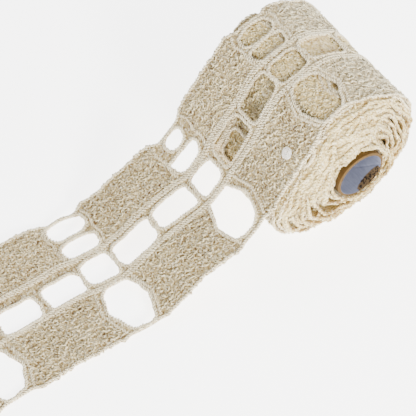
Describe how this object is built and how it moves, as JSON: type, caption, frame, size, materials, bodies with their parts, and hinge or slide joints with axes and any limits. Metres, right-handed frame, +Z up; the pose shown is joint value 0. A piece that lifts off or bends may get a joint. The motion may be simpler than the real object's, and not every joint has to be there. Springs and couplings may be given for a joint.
{
  "type": "roll of lace trim on a cardboard tube",
  "caption": "Wide openwork lace trim wound on a short cardboard tube, its loose end sloping off the roll and lying flat beside it.",
  "frame": {"origin": "middle of the roll's flat spot, on the surface that the roll rests on", "axes": "+Z up; the roll's axis and tube run along Y, with the open end that shows at -Y; the loose end runs toward -X"},
  "size_m": [0.327, 0.12, 0.1128],
  "materials": {
    "cardboard": "matt brown paper board",
    "lace": "matt cream cotton thread"
  },
  "bodies": {
    "root": {"core_tube": "cardboard", "lace_roll": "lace", "loose_end": "lace"}
  },
  "joints": []
}
